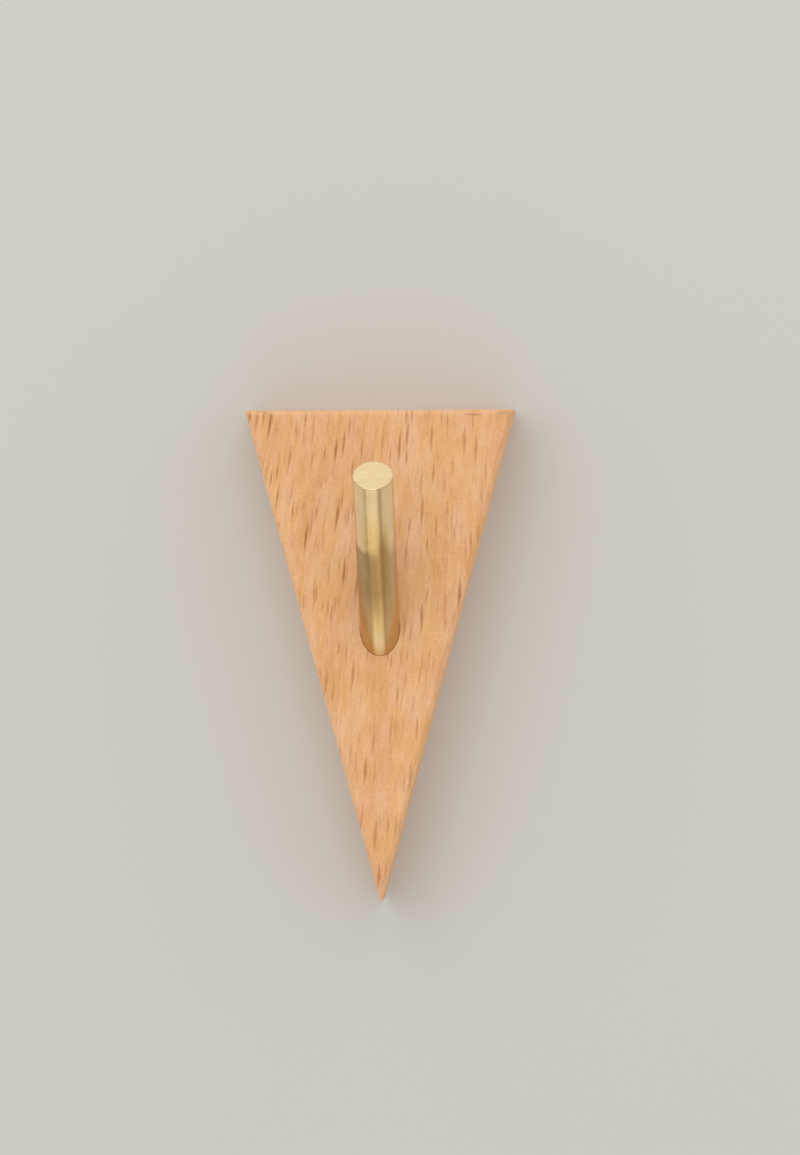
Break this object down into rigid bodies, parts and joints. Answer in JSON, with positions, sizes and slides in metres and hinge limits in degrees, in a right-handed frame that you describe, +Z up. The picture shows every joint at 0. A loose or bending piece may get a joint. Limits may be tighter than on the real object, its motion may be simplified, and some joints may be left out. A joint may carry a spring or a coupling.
{
  "type": "wall coat hook",
  "caption": "Triangular beech block, point down, that hangs on a wall screw by a keyhole slot and holds a slanted brass rod peg for coats and bags.",
  "frame": {"origin": "on the wall plane, at the centre of the keyhole slot's upper end, where the shank of the wall screw carries the hook", "axes": "+X to the right as seen from the room, +Y into the wall, +Z up; the back of the block lies on Y = 0"},
  "size_m": [0.054, 0.0529, 0.0987],
  "materials": {
    "beech": "sanded smooth, oiled, with brown ray flecks along the grain",
    "brass": "drawn rod, satin, bright at the cut end and slightly dulled lower down"
  },
  "bodies": {
    "root": {"beech_block": "beech", "brass_peg": "brass"}
  },
  "joints": []
}
